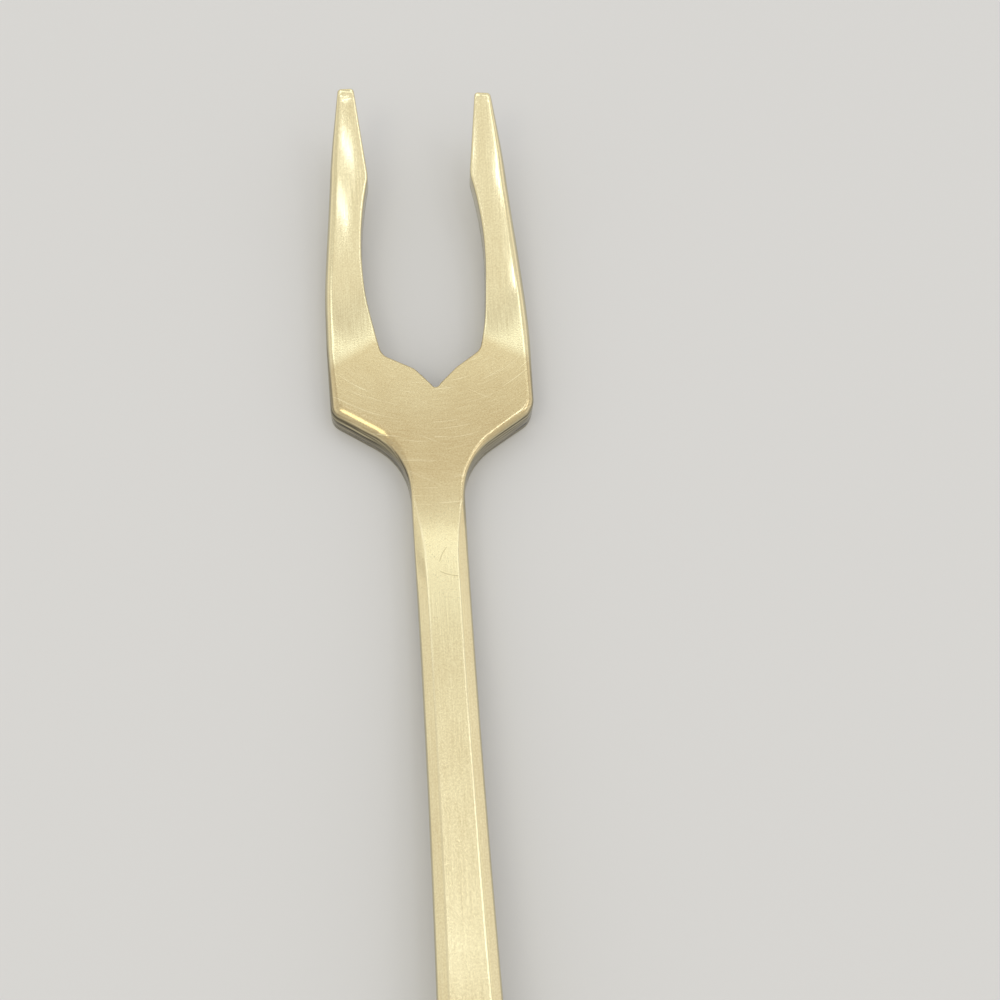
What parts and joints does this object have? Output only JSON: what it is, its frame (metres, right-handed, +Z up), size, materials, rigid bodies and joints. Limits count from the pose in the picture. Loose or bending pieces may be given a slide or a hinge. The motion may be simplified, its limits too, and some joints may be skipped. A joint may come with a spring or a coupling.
{
  "type": "oyster fork",
  "caption": "Slim all-steel oyster fork with barbed tines, a notched flat head, squared shoulders, a narrow neck and a bevelled handle that widens to a rounded end.",
  "frame": {"origin": "middle of the fork's length and width, on the table plane that it rests on", "axes": "+Y along the fork towards the tips of the tines, +X to the right seen from above with the tips away, +Z up"},
  "size_m": [0.016, 0.15, 0.0061],
  "materials": {
    "satin_steel": "satin, brushed along the tines and the handle"
  },
  "bodies": {
    "root": {"left_tine": "satin_steel", "right_tine": "satin_steel", "head": "satin_steel", "neck": "satin_steel", "handle": "satin_steel"}
  },
  "joints": []
}
